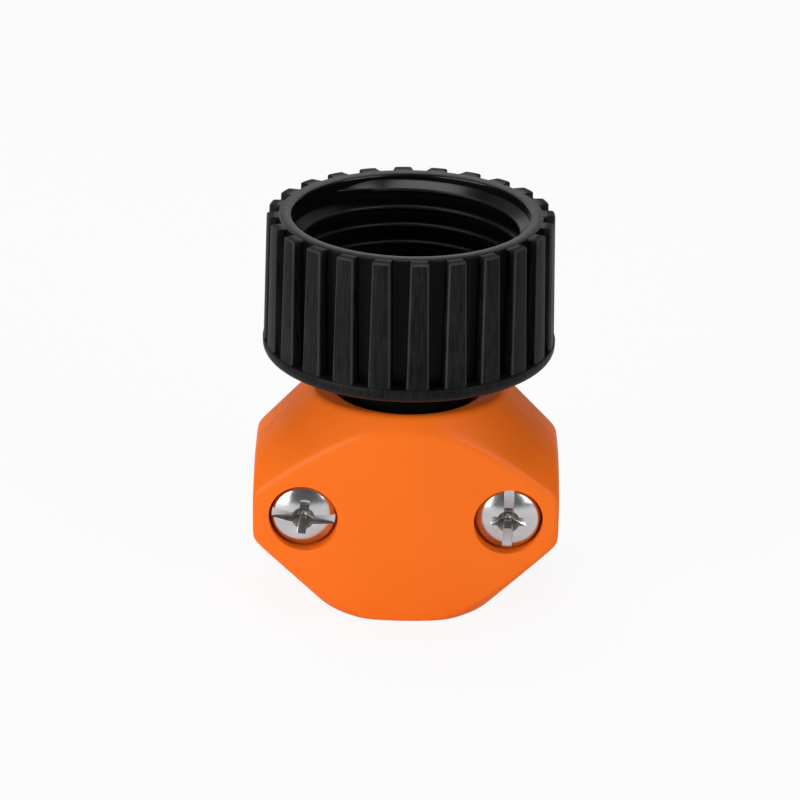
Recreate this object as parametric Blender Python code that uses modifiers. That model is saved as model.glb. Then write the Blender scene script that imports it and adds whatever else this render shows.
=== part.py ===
"""Female hose connector: a mender end for a 1/2 inch hose with a 3/4 inch swivel nut.

Metres, +Z up. The connector stands on the open end of its clamp, on z = 0, with the hose
and the nut on the Z axis. The clamp's front half and its screw heads look along -Y.
"""
import math

import bmesh
import bpy
from mathutils import Matrix, Vector

MM = 0.001

# General fits
FIT = 0.3 * MM
MERGE = 0.00001

# Swivel nut, with a socket for 3/4 inch hose thread
THREAD_ROOT_RADIUS = 13.6 * MM
THREAD_DEPTH = 1.2 * MM
THREAD_PITCH = 2.209 * MM
THREAD_CREST_WIDTH = 0.28 * MM
THREAD_FLANK = math.radians(30.0)
THREAD_ROOTING = 0.2 * MM
THREAD_FADE = 0.08
THREAD_START_GAP = 0.3 * MM
THREAD_END_DEPTH = 1.26 * MM
THREAD_END_ANGLE = math.radians(135.0)
NUT_HEIGHT = 16.5 * MM
NUT_FLOOR = 1.5 * MM
NUT_WALL = 1.45 * MM
NUT_RIM_CHAMFER = 0.15 * MM
MOUTH_CHAMFER = 0.25 * MM
SWIVEL_CLEARANCE = 0.35 * MM
RING_DEPTH = 1.8 * MM
RING_STRAIGHT = 0.6 * MM
RING_ROUND = 1.1 * MM
RIB_COUNT = 24
RIB_TOP_DEPTH = 1.37 * MM
RIB_FOOT_DEPTH = 1.7 * MM
RIB_TOP_WIDTH = 1.9 * MM
RIB_FOOT_WIDTH = 2.55 * MM
RIB_TOP_DROP = 0.06 * MM
RIB_EDGE = 0.28 * MM
RIB_PHASE = math.radians(3.6)

# Hose washer
WASHER_SIDE_GAP = 0.9 * MM
WASHER_WIDTH = 4.8 * MM
WASHER_THICKNESS = 2.7 * MM
WASHER_ROUND = 0.5 * MM

# Stem
FLANGE_THICKNESS = 1.6 * MM
FLANGE_CHAMFER = 0.3 * MM
NECK_RADIUS = 7.05 * MM
NECK_SHOWING = 4.5 * MM
COLLAR_STEP = 1.75 * MM
COLLAR_THICKNESS = 2.0 * MM
BORE_RADIUS = 4.6 * MM
TAIL_WALL = 1.3 * MM
BARB_STEP = 0.7 * MM
BARB_COUNT = 4
BARB_EDGE = 0.3 * MM
BARB_START = 0.5
TAIL_TIP_WALL = 0.9 * MM
TAIL_RECESS = 2.0 * MM

# Clamp, inside
CLAMP_HEIGHT = 25.6 * MM
HALF_GAP = 0.4 * MM
NECK_HOLE_CLEARANCE = 1.65 * MM
NECK_HOLE_DEPTH = 2.4 * MM
LIP_CLEARANCE = 0.35 * MM
LIP_THICKNESS = 2.4 * MM
GROOVE_CLEARANCE = 0.4 * MM
HOSE_WALL = 2.0 * MM
HOSE_CHAMFER = 0.6 * MM
GRIP_RING_HEIGHT = 0.6 * MM
GRIP_RING_COUNT = 4

# Clamp, outside
EAR_WALL = 1.87 * MM
EAR_THICKNESS = 8.2 * MM
GROOVE_WALL = 1.1 * MM
RIDGE_ROUND = 3.5 * MM
BASE_WALL = 2.27 * MM
BASE_FLARE = 0.92
TOP_SIDE_WALL = 2.37 * MM
TOP_SIDE_FLARE = 0.94
TOP_FACE_WALL = 0.6 * MM
TOP_FACE_FLARE = 0.56
FRONT_LAND = 0.5 * MM
BACK_LAND = 2.8 * MM
END_ROUND = 0.4 * MM
END_ROUND_STEP = 0.3
CREASE_SHARPNESS = 60.0

# Clamp screws and their hex nuts
SCREW_LEVEL = 12.5 * MM
SCREW_WALL = 0.9 * MM
SHANK_RADIUS = 2.0 * MM
SCREW_TIP = 0.4 * MM
SCREW_TIP_CHAMFER = 0.6 * MM
HEAD_RADIUS = 3.7 * MM
HEAD_HEIGHT = 2.0 * MM
HEAD_RIM = 0.6 * MM
SEAT_WALL = 6.9 * MM
SLOT_WIDTH = 0.95 * MM
SLOT_DEPTH = 1.5 * MM
CROSS_SPAN = 4.4 * MM
CROSS_FOOT = 1.3 * MM
CROSS_WIDTH = 1.1 * MM
CROSS_FOOT_WIDTH = 0.88 * MM
CROSS_DEPTH = 1.7 * MM
LEFT_SLOT_TURN = math.radians(6.0)
RIGHT_SLOT_TURN = math.radians(91.0)
HEX_FLATS = 7.0 * MM
HEX_THICKNESS = 2.6 * MM
HEX_SEAT_WALL = 5.5 * MM
HEX_CHAMFER = 0.35 * MM
HEX_FACE_STEP = 0.3 * MM

# Places and radii that follow from the sizes
NUT_BODY_RADIUS = THREAD_ROOT_RADIUS + NUT_WALL
THREAD_CREST_RADIUS = THREAD_ROOT_RADIUS - THREAD_DEPTH
NUT_BOTTOM = CLAMP_HEIGHT + NECK_SHOWING
FLANGE_RADIUS = THREAD_CREST_RADIUS - FIT
FLANGE_BOTTOM = NUT_BOTTOM + NUT_FLOOR + FIT
FLANGE_TOP = FLANGE_BOTTOM + FLANGE_THICKNESS
WASHER_RADIUS = THREAD_ROOT_RADIUS - WASHER_SIDE_GAP
WASHER_HOLE_RADIUS = WASHER_RADIUS - WASHER_WIDTH
WASHER_BOTTOM = FLANGE_TOP + FIT
WASHER_TOP = WASHER_BOTTOM + WASHER_THICKNESS
TAIL_RADIUS = BORE_RADIUS + TAIL_WALL
BARB_RADIUS = TAIL_RADIUS + BARB_STEP
COLLAR_RADIUS = NECK_RADIUS + COLLAR_STEP
NECK_HOLE_RADIUS = NECK_RADIUS + NECK_HOLE_CLEARANCE
LIP_RADIUS = NECK_RADIUS + LIP_CLEARANCE
GROOVE_RADIUS = COLLAR_RADIUS + GROOVE_CLEARANCE
HOSE_RADIUS = BARB_RADIUS + HOSE_WALL
LIP_TOP = CLAMP_HEIGHT - NECK_HOLE_DEPTH
LIP_BOTTOM = LIP_TOP - LIP_THICKNESS
COLLAR_TOP = LIP_BOTTOM - FIT
COLLAR_BOTTOM = COLLAR_TOP - COLLAR_THICKNESS
GROOVE_BOTTOM = COLLAR_BOTTOM - FIT
SHANK_HOLE_RADIUS = SHANK_RADIUS + FIT
POCKET_RADIUS = HEAD_RADIUS + FIT
SCREW_X = HOSE_RADIUS + SCREW_WALL + SHANK_HOLE_RADIUS
EAR_REACH = SCREW_X + POCKET_RADIUS + EAR_WALL
FACE_HEIGHT = GROOVE_RADIUS + GROOVE_WALL
BASE_RADIUS = HOSE_RADIUS + BASE_WALL
TOP_HALF_LENGTH = NECK_HOLE_RADIUS + TOP_SIDE_WALL
TOP_HALF_DEPTH = NECK_HOLE_RADIUS + TOP_FACE_WALL
HEAD_SEAT = HALF_GAP / 2 + SEAT_WALL
HEX_SEAT = HALF_GAP / 2 + HEX_SEAT_WALL
SCREW_LENGTH = HEAD_SEAT + HEX_SEAT + 2 * FIT + HEX_THICKNESS + SCREW_TIP
THROUGH = CLAMP_HEIGHT + NUT_HEIGHT
FAR = 100 * THROUGH

# Facets
NUT_STEPS = 48
RING_STEPS = 5
RIB_EDGE_STEPS = 2
WASHER_EDGE_STEPS = 3
THREAD_STEPS = 48
ROUND_STEPS = 40
SCREW_STEPS = 24
HEAD_STEPS = 6
CLAMP_RAYS = 40
CLAMP_LEVELS = 15
SMOOTH_ANGLE = math.radians(30.0)

ORANGE = (0.91, 0.16, 0.018)
NYLON = (0.012, 0.012, 0.013)
RUBBER = (0.03, 0.03, 0.03)
ZINC = (0.62, 0.62, 0.63)
ORANGE_ROUGHNESS = 0.42
NYLON_ROUGHNESS = 0.38
RUBBER_ROUGHNESS = 0.7
ZINC_ROUGHNESS = 0.28


def clear_scene():
    for obj in list(bpy.data.objects):
        bpy.data.objects.remove(obj, do_unlink=True)


def collection(name):
    group = bpy.data.collections.new(name)
    bpy.context.scene.collection.children.link(group)
    return group


def material(name, colour, roughness, metallic=0.0):
    mat = bpy.data.materials.new(name)
    mat.use_nodes = True
    shader = mat.node_tree.nodes["Principled BSDF"]
    shader.inputs["Base Color"].default_value = (*colour, 1.0)
    shader.inputs["Roughness"].default_value = roughness
    shader.inputs["Metallic"].default_value = metallic
    return mat


def link_object(name, mesh, group):
    obj = bpy.data.objects.new(name, mesh)
    group.objects.link(obj)
    return obj


def mesh_from(name, form):
    mesh = bpy.data.meshes.new(name)
    form.to_mesh(mesh)
    form.free()
    return mesh


def cutter(name, mesh, place=(0.0, 0.0, 0.0), turn=(0.0, 0.0, 0.0)):
    obj = link_object(name, mesh, CUTTERS)
    obj.location = place
    obj.rotation_euler = turn
    obj.hide_render = True
    obj.display_type = "WIRE"
    return obj


def boolean(obj, tool, operation="DIFFERENCE"):
    step = obj.modifiers.new(tool.name, "BOOLEAN")
    step.operation = operation
    step.solver = "EXACT"
    step.object = tool


def turned_mesh(name, outline):
    """An outline of (radius, height) points, laid at +X for a Screw modifier.

    It runs down the outer side. An outline that starts and ends on the axis stays open there.
    """
    form = bmesh.new()
    points = [form.verts.new((radius, 0.0, height)) for radius, height in outline]
    solid = outline[0][0] == 0.0 and outline[-1][0] == 0.0
    following = points[1:] if solid else points[1:] + points[:1]
    for first, second in zip(points, following):
        form.edges.new((first, second))
    return mesh_from(name, form)


def turn(obj, steps):
    screw = obj.modifiers.new("Turn", "SCREW")
    screw.steps = steps
    screw.render_steps = steps
    screw.use_merge_vertices = True
    screw.merge_threshold = MERGE


def arc(centre, radius, start, end, count):
    """Points of an arc in the (radius, height) plane, angles in degrees."""
    points = []
    for index in range(count + 1):
        angle = math.radians(start + (end - start) * index / count)
        points.append((centre[0] + radius * math.cos(angle), centre[1] + radius * math.sin(angle)))
    return points


def cylinder_mesh(name, radius, length, steps=ROUND_STEPS):
    """A cylinder from z = 0 up to its length."""
    form = bmesh.new()
    bmesh.ops.create_cone(form, cap_ends=True, segments=steps, radius1=radius, radius2=radius,
                          depth=length, matrix=Matrix.Translation((0.0, 0.0, length / 2)))
    return mesh_from(name, form)


def tapered_block(form, foot, head, low, high):
    """A block whose foot and head are (x0, x1, half width) at two heights."""
    made = bmesh.ops.create_cube(form, size=1.0)
    for vert in made["verts"]:
        inner, outer, half = head if vert.co.z > 0 else foot
        vert.co = Vector((outer if vert.co.x > 0 else inner,
                          half if vert.co.y > 0 else -half,
                          high if vert.co.z > 0 else low))
    return made["verts"]


def finish(obj, mat, parent):
    obj.data.materials.append(mat)
    obj.data.shade_smooth()
    obj.data.set_sharp_from_angle(angle=SMOOTH_ANGLE)
    obj.parent = parent
    return obj


# Swivel nut
def nut_outline():
    top = NUT_HEIGHT
    ring_top = RING_ROUND + RING_STRAIGHT
    ring_radius = NUT_BODY_RADIUS + RING_DEPTH
    hole = NECK_RADIUS + SWIVEL_CLEARANCE
    outline = [
        (THREAD_ROOT_RADIUS + MOUTH_CHAMFER, top),
        (NUT_BODY_RADIUS - NUT_RIM_CHAMFER, top),
        (NUT_BODY_RADIUS, top - NUT_RIM_CHAMFER),
        (NUT_BODY_RADIUS, ring_top),
        (ring_radius, ring_top),
    ]
    outline += arc((ring_radius - RING_ROUND, RING_ROUND), RING_ROUND, 0, -90, RING_STEPS)
    outline += [
        (hole, 0.0),
        (hole, NUT_FLOOR),
        (THREAD_ROOT_RADIUS, NUT_FLOOR),
        (THREAD_ROOT_RADIUS, top - MOUTH_CHAMFER),
    ]
    return outline


def rib_mesh():
    """All grip ribs as separate tapered bars, rooted in the nut's wall."""
    form = bmesh.new()
    root = (THREAD_ROOT_RADIUS + NUT_BODY_RADIUS) / 2
    low = RING_ROUND + RING_STRAIGHT / 2
    foot = (root, NUT_BODY_RADIUS + RIB_FOOT_DEPTH, RIB_FOOT_WIDTH / 2)
    head = (root, NUT_BODY_RADIUS + RIB_TOP_DEPTH, RIB_TOP_WIDTH / 2)
    high = NUT_HEIGHT - RIB_TOP_DROP
    for index in range(RIB_COUNT):
        verts = tapered_block(form, foot, head, low, high)
        turned = Matrix.Rotation(RIB_PHASE - math.pi / 2 + index * math.tau / RIB_COUNT, 4, "Z")
        edges = {edge for vert in verts for edge in vert.link_edges}
        outer = [edge for edge in edges if min(v.co.x for v in edge.verts) > root + MERGE
                 and max(v.co.z for v in edge.verts) > high - MERGE]
        made = bmesh.ops.bevel(form, geom=outer, offset=RIB_EDGE, segments=RIB_EDGE_STEPS,
                               affect="EDGES", profile=0.5)
        moved = {v for v in verts if v.is_valid} | set(made["verts"])
        bmesh.ops.transform(form, matrix=turned, verts=list(moved))
    return mesh_from("grip_ribs", form)


def thread_section(along, turns):
    """The ridge's four corners as (radius, height), so many turns up from its lower end."""
    grown = min(along / THREAD_FADE, (turns - along) / THREAD_FADE, 1.0)
    depth = THREAD_DEPTH * grown - THREAD_ROOTING / 2 * (1.0 - grown)
    root = THREAD_ROOT_RADIUS + THREAD_ROOTING
    crest = THREAD_ROOT_RADIUS - depth
    half_crest = THREAD_CREST_WIDTH / 2
    half_root = half_crest + (root - crest) * math.tan(THREAD_FLANK)
    middle = NUT_HEIGHT - THREAD_END_DEPTH - (turns - along) * THREAD_PITCH
    return ((root, middle - half_root), (crest, middle - half_crest),
            (crest, middle + half_crest), (root, middle + half_root))


def thread_mesh():
    """The socket's right-handed thread: one ridge up a helix, sunk in the wall at both ends."""
    form = bmesh.new()
    half_root = THREAD_CREST_WIDTH / 2 + (THREAD_DEPTH + THREAD_ROOTING) * math.tan(THREAD_FLANK)
    low = WASHER_TOP - NUT_BOTTOM + THREAD_START_GAP + half_root
    turns = (NUT_HEIGHT - THREAD_END_DEPTH - low) / THREAD_PITCH
    count = round(turns * THREAD_STEPS)
    sections = []
    for index in range(count + 1):
        along = turns * index / count
        angle = THREAD_END_ANGLE - math.tau * (turns - along)
        sections.append([form.verts.new((radius * math.cos(angle), radius * math.sin(angle), height))
                         for radius, height in thread_section(along, turns)])
    for first, second in zip(sections, sections[1:]):
        for corner in range(4):
            after = (corner + 1) % 4
            form.faces.new((first[corner], first[after], second[after], second[corner]))
    form.faces.new(sections[0])
    form.faces.new(sections[-1])
    bmesh.ops.recalc_face_normals(form, faces=form.faces)
    return mesh_from("hose_thread", form)


def make_nut(parent, mat):
    nut = link_object("swivel_nut", turned_mesh("swivel_nut", nut_outline()), PARTS)
    nut.location = (0.0, 0.0, NUT_BOTTOM)
    turn(nut, NUT_STEPS)
    ribs = cutter("grip_ribs", rib_mesh(), (0.0, 0.0, NUT_BOTTOM))
    boolean(nut, ribs, "UNION")
    thread = cutter("hose_thread", thread_mesh(), (0.0, 0.0, NUT_BOTTOM))
    boolean(nut, thread, "UNION")
    return finish(nut, mat, parent)


def make_washer(parent, mat):
    corner = WASHER_ROUND
    top = WASHER_THICKNESS
    outline = arc((WASHER_RADIUS - corner, top - corner), corner, 90, 0, WASHER_EDGE_STEPS)
    outline += arc((WASHER_RADIUS - corner, corner), corner, 0, -90, WASHER_EDGE_STEPS)
    outline += [(WASHER_HOLE_RADIUS, 0.0), (WASHER_HOLE_RADIUS, top)]
    washer = link_object("hose_washer", turned_mesh("hose_washer", outline), PARTS)
    washer.location = (0.0, 0.0, WASHER_BOTTOM)
    turn(washer, ROUND_STEPS)
    return finish(washer, mat, parent)


# Stem
def barb_outline():
    """The barbed tail from the collar down, each barb a step out and a long ramp back in."""
    length = COLLAR_BOTTOM - TAIL_RECESS
    pitch = length / (BARB_COUNT + BARB_START)
    points = [(TAIL_RADIUS, COLLAR_BOTTOM)]
    for index in range(BARB_COUNT):
        step = COLLAR_BOTTOM - (index + BARB_START) * pitch
        points += [(TAIL_RADIUS, step), (BARB_RADIUS, step - BARB_EDGE)]
    points.append((BORE_RADIUS + TAIL_TIP_WALL, TAIL_RECESS))
    return points


def make_stem(parent, mat):
    outline = [
        (BORE_RADIUS, FLANGE_TOP),
        (FLANGE_RADIUS - FLANGE_CHAMFER, FLANGE_TOP),
        (FLANGE_RADIUS, FLANGE_TOP - FLANGE_CHAMFER),
        (FLANGE_RADIUS, FLANGE_BOTTOM),
        (NECK_RADIUS, FLANGE_BOTTOM),
        (NECK_RADIUS, COLLAR_TOP),
        (COLLAR_RADIUS, COLLAR_TOP),
        (COLLAR_RADIUS, COLLAR_BOTTOM),
    ]
    outline += barb_outline()
    outline.append((BORE_RADIUS, TAIL_RECESS))
    stem = link_object("stem", turned_mesh("stem", outline), PARTS)
    turn(stem, ROUND_STEPS)
    return finish(stem, mat, parent)


# Clamp halves
def face_reach(across, along):
    """Distance along a ray to the front face, a shallow roof with a rounded ridge."""
    fall = (FACE_HEIGHT - EAR_THICKNESS) / EAR_REACH
    soft = math.hypot(across, along * RIDGE_ROUND / FACE_HEIGHT)
    return FACE_HEIGHT / (along + fall * (soft - along * RIDGE_ROUND / FACE_HEIGHT))


def top_reach(across, along, depth, land):
    """Distance along a ray to the sloping top, an oval that starts behind a straight land."""
    long_half = TOP_HALF_LENGTH + TOP_SIDE_FLARE * depth
    short_half = TOP_HALF_DEPTH + TOP_FACE_FLARE * depth - land
    if across > MERGE and along * long_half / across <= land:
        return long_half / across
    square = (across / long_half) ** 2 + (along / short_half) ** 2
    linear = along * land / short_half ** 2
    rest = (land / short_half) ** 2 - 1.0
    return (linear + math.sqrt(linear ** 2 - square * rest)) / square


def section_reach(angle, height, land):
    """How far the clamp's outside lies from the axis: the nearest of its faces, blended."""
    across = abs(math.cos(angle))
    along = max(math.sin(angle), 0.0)
    reaches = [
        EAR_REACH / max(across, MERGE),
        face_reach(across, along) if along > MERGE else FAR,
        top_reach(across, along, CLAMP_HEIGHT - height, land),
        BASE_RADIUS + BASE_FLARE * height,
    ]
    nearest = min(reaches)
    blend = sum((nearest / reach) ** CREASE_SHARPNESS for reach in reaches)
    inset = 0.0
    for edge in (height, CLAMP_HEIGHT - height):
        if edge < END_ROUND:
            inset += END_ROUND - math.sqrt(END_ROUND ** 2 - (END_ROUND - edge) ** 2)
    return nearest * blend ** (-1.0 / CREASE_SHARPNESS) - inset


def clamp_levels():
    """Heights of the lofted sections: both rounded ends, even steps and the ears' corners."""
    ends = [0.0, END_ROUND * END_ROUND_STEP, END_ROUND]
    span = CLAMP_HEIGHT - 2 * END_ROUND
    middle = [END_ROUND + span * index / CLAMP_LEVELS for index in range(1, CLAMP_LEVELS)]
    corners = ((EAR_REACH - BASE_RADIUS) / BASE_FLARE,
               CLAMP_HEIGHT - (EAR_REACH - TOP_HALF_LENGTH) / TOP_SIDE_FLARE)
    middle += [height for height in corners if END_ROUND < height < CLAMP_HEIGHT - END_ROUND]
    return ends + sorted(middle) + [CLAMP_HEIGHT - height for height in reversed(ends)]


def clamp_shell_mesh(name, side, land):
    """Half of the clamp's outside, lofted through its sections; side is -1 front, +1 back."""
    form = bmesh.new()
    start = side * HALF_GAP / 2
    rings = []
    for height in clamp_levels():
        ring = []
        for index in range(CLAMP_RAYS + 1):
            angle = math.pi * index / CLAMP_RAYS
            reach = section_reach(angle, height, land)
            place = (reach * math.cos(angle), start + side * reach * math.sin(angle), height)
            ring.append(form.verts.new(place))
        rings.append(ring)
    for lower, upper in zip(rings, rings[1:]):
        for index in range(CLAMP_RAYS):
            form.faces.new((lower[index], lower[index + 1], upper[index + 1], upper[index]))
        form.faces.new((lower[-1], lower[0], upper[0], upper[-1]))
    form.faces.new(rings[0])
    form.faces.new(rings[-1])
    bmesh.ops.recalc_face_normals(form, faces=form.faces)
    return mesh_from(name, form)


def cavity_outline():
    """The clamp's inside: the neck hole, a lip under it, the collar's groove and the ringed hose bore."""
    outline = [
        (0.0, CLAMP_HEIGHT + THROUGH),
        (NECK_HOLE_RADIUS, CLAMP_HEIGHT + THROUGH),
        (NECK_HOLE_RADIUS, LIP_TOP),
        (LIP_RADIUS, LIP_TOP),
        (LIP_RADIUS, LIP_BOTTOM),
        (GROOVE_RADIUS, LIP_BOTTOM),
        (GROOVE_RADIUS, GROOVE_BOTTOM),
        (HOSE_RADIUS, GROOVE_BOTTOM),
    ]
    pitch = (GROOVE_BOTTOM - HOSE_CHAMFER) / (GRIP_RING_COUNT + 1)
    for index in range(GRIP_RING_COUNT):
        level = GROOVE_BOTTOM - (index + 1) * pitch
        outline += [
            (HOSE_RADIUS, level + GRIP_RING_HEIGHT),
            (HOSE_RADIUS - GRIP_RING_HEIGHT, level),
            (HOSE_RADIUS, level - GRIP_RING_HEIGHT),
        ]
    outline += [
        (HOSE_RADIUS, HOSE_CHAMFER),
        (HOSE_RADIUS + HOSE_CHAMFER, 0.0),
        (HOSE_RADIUS + HOSE_CHAMFER, -THROUGH),
        (0.0, -THROUGH),
    ]
    return outline


def make_cavity():
    cavity = cutter("hose_cavity", turned_mesh("hose_cavity", cavity_outline()))
    turn(cavity, ROUND_STEPS)
    return cavity


def screw_places():
    return {"left": -SCREW_X, "right": SCREW_X}


def make_half(name, side, land, cavity, parent, mat):
    """One clamp half with its hose bore, its screw holes and the pockets in its face."""
    half = link_object(name, clamp_shell_mesh(name, side, land), PARTS)
    boolean(half, cavity)
    toward = math.pi / 2 * (1 if side < 0 else -1)
    for hand, across in screw_places().items():
        place = (across, 0.0, SCREW_LEVEL)
        hole = cylinder_mesh("hole", SHANK_HOLE_RADIUS, THROUGH, SCREW_STEPS)
        boolean(half, cutter(f"{name}_{hand}_hole", hole, place, (toward, 0.0, 0.0)))
        seat = HEAD_SEAT if side < 0 else HEX_SEAT
        floor = (across, side * seat, SCREW_LEVEL)
        if side < 0:
            pocket = cylinder_mesh("pocket", POCKET_RADIUS, THROUGH)
        else:
            pocket = cylinder_mesh("pocket", hex_corner(HEX_FLATS + 2 * FIT), THROUGH, 6)
        boolean(half, cutter(f"{name}_{hand}_pocket", pocket, floor, (toward, 0.0, 0.0)))
    return finish(half, mat, parent)


# Screws and hex nuts
def hex_corner(flats):
    return flats / math.sqrt(3)


def head_outline():
    """Screw profile, head down at -Z so that the shank points up: shank tip first."""
    rise = HEAD_HEIGHT - HEAD_RIM
    ball = (HEAD_RADIUS ** 2 + rise ** 2) / (2 * rise)
    rim_angle = math.degrees(math.asin(HEAD_RADIUS / ball)) - 90
    outline = [
        (0.0, SCREW_LENGTH),
        (SHANK_RADIUS - SCREW_TIP_CHAMFER, SCREW_LENGTH),
        (SHANK_RADIUS, SCREW_LENGTH - SCREW_TIP_CHAMFER),
        (SHANK_RADIUS, 0.0),
        (HEAD_RADIUS, 0.0),
    ]
    outline += arc((0.0, ball - HEAD_HEIGHT), ball, rim_angle, -90, HEAD_STEPS)[:-1]
    outline.append((0.0, -HEAD_HEIGHT))
    return outline


def recess_meshes():
    """The driver recess: a slot right across the head and two tapered wings that cross in it."""
    over = -HEAD_HEIGHT - SLOT_DEPTH
    form = bmesh.new()
    side = (-HEAD_RADIUS * 2, HEAD_RADIUS * 2, SLOT_WIDTH / 2)
    tapered_block(form, side, side, over, -HEAD_HEIGHT + SLOT_DEPTH)
    tools = [mesh_from("slot", form)]
    taper = (CROSS_SPAN - CROSS_FOOT) / 2 / CROSS_DEPTH
    for index, name in enumerate(("wing_along", "wing_across")):
        form = bmesh.new()
        outer = CROSS_SPAN / 2 + taper * SLOT_DEPTH
        verts = tapered_block(form, (-outer, outer, CROSS_WIDTH / 2),
                              (-CROSS_FOOT / 2, CROSS_FOOT / 2, CROSS_FOOT_WIDTH / 2),
                              over, -HEAD_HEIGHT + CROSS_DEPTH - index * MERGE * 2)
        bmesh.ops.rotate(form, matrix=Matrix.Rotation(index * math.pi / 2, 3, "Z"), verts=verts)
        tools.append(mesh_from(name, form))
    return tools


def make_screws(parent, mat):
    """Both clamp screws: pan heads with a slot and a cross, lying along Y with heads in front."""
    tools = recess_meshes()
    turns = {"left": LEFT_SLOT_TURN, "right": RIGHT_SLOT_TURN}
    made = []
    for hand, across in screw_places().items():
        name = f"screw_{hand}"
        screw = link_object(name, turned_mesh(name, head_outline()), PARTS)
        place = Vector((across, -HEAD_SEAT - FIT, SCREW_LEVEL))
        angles = Matrix.Rotation(-math.pi / 2, 4, "X") @ Matrix.Rotation(turns[hand], 4, "Z")
        screw.matrix_world = Matrix.Translation(place) @ angles
        turn(screw, SCREW_STEPS)
        for tool in tools:
            cut = cutter(f"{name}_{tool.name}", tool)
            cut.matrix_world = screw.matrix_world
            boolean(screw, cut)
        keep = screw.matrix_world.copy()
        finish(screw, mat, parent)
        screw.matrix_world = keep
        made.append(screw)
    return made


def hex_mesh(name):
    """A hex nut from z = 0 up, its corners chamfered on both faces."""
    form = bmesh.new()
    bmesh.ops.create_cone(form, cap_ends=True, segments=6, radius1=hex_corner(HEX_FLATS),
                          radius2=hex_corner(HEX_FLATS), depth=HEX_THICKNESS,
                          matrix=Matrix.Translation((0.0, 0.0, HEX_THICKNESS / 2)))
    return mesh_from(name, form)


def make_hex_nuts(parent, mat):
    corner = hex_corner(HEX_FLATS)
    chamfer = [
        (0.0, HEX_THICKNESS + HEX_FACE_STEP),
        (HEX_FLATS / 2 - HEX_FACE_STEP, HEX_THICKNESS + HEX_FACE_STEP),
        (corner + HEX_FACE_STEP, HEX_THICKNESS - HEX_CHAMFER),
        (corner + HEX_FACE_STEP, HEX_CHAMFER),
        (HEX_FLATS / 2 - HEX_FACE_STEP, -HEX_FACE_STEP),
        (0.0, -HEX_FACE_STEP),
    ]
    made = []
    for hand, across in screw_places().items():
        name = f"hex_nut_{hand}"
        place = (across, HEX_SEAT + FIT, SCREW_LEVEL)
        lie = (-math.pi / 2, 0.0, 0.0)
        hexagon = link_object(name, hex_mesh(name), PARTS)
        hexagon.location = place
        hexagon.rotation_euler = lie
        corners = cutter(f"{name}_corners", turned_mesh("corners", chamfer), place, lie)
        turn(corners, ROUND_STEPS)
        boolean(hexagon, corners, "INTERSECT")
        hole = cylinder_mesh("hole", SHANK_HOLE_RADIUS, THROUGH, SCREW_STEPS)
        away = (across, HEX_SEAT - THROUGH / 2, SCREW_LEVEL)
        boolean(hexagon, cutter(f"{name}_hole", hole, away, lie))
        made.append(finish(hexagon, mat, parent))
    return made


def main():
    base = bpy.data.objects.new("connector_base", None)
    PARTS.objects.link(base)
    orange = material("orange_nylon", ORANGE, ORANGE_ROUGHNESS)
    orange_back = material("orange_nylon_back", ORANGE, ORANGE_ROUGHNESS)
    black = material("black_nylon", NYLON, NYLON_ROUGHNESS)
    stem_black = material("stem_nylon", NYLON, NYLON_ROUGHNESS)
    rubber = material("washer_rubber", RUBBER, RUBBER_ROUGHNESS)
    zinc = material("zinc_screw", ZINC, ZINC_ROUGHNESS, metallic=1.0)
    zinc_nut = material("zinc_hex_nut", ZINC, ZINC_ROUGHNESS, metallic=1.0)
    make_nut(base, black)
    make_washer(base, rubber)
    make_stem(base, stem_black)
    cavity = make_cavity()
    make_half("clamp_front", -1, FRONT_LAND, cavity, base, orange)
    make_half("clamp_back", 1, BACK_LAND, cavity, base, orange_back)
    make_screws(base, zinc)
    make_hex_nuts(base, zinc_nut)


clear_scene()
PARTS = collection("Female hose connector")
CUTTERS = collection("Cutters")
main()
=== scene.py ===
"""Dresses the female hose connector: its moulded nylon, rubber, plated screws and studio."""
import math

import bmesh
import bpy
from bpy.props import FloatProperty, FloatVectorProperty, IntProperty, PointerProperty
from mathutils import Matrix, Vector


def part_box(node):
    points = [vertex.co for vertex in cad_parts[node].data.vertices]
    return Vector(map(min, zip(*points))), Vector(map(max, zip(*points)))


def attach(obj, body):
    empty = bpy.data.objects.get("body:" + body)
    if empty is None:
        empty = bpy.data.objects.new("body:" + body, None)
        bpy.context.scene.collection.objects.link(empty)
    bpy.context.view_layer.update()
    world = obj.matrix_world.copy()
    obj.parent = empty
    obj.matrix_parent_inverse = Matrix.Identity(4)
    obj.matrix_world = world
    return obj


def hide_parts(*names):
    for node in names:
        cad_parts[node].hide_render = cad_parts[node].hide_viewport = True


bl_info = {
    "name": "Female Hose Connector",
    "version": (1, 0, 0),
    "blender": (4, 5, 0),
    "location": "View3D > Sidebar > Hose Connector",
    "description": "Builds the finished pieces of a clamp-on female hose connector",
    "category": "Object",
}

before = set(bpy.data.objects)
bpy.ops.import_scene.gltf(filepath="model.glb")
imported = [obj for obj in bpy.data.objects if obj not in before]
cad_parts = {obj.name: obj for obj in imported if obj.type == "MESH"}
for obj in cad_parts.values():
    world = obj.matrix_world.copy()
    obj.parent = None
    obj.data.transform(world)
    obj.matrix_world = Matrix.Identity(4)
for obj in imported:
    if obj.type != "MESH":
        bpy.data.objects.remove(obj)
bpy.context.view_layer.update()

MM = 0.001
NUT_LOW, NUT_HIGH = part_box("swivel_nut")
WASHER_LOW, WASHER_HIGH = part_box("hose_washer")
STEM_LOW, STEM_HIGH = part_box("stem")
CLAMP_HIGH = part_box("clamp_front")[1]
BACK_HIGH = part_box("clamp_back")[1]
SCREW_BOXES = {"left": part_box("screw_left"), "right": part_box("screw_right")}
HEX_BOXES = {"left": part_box("hex_nut_left"), "right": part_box("hex_nut_right")}
WHITE = (1.0, 1.0, 1.0, 1.0)


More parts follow.
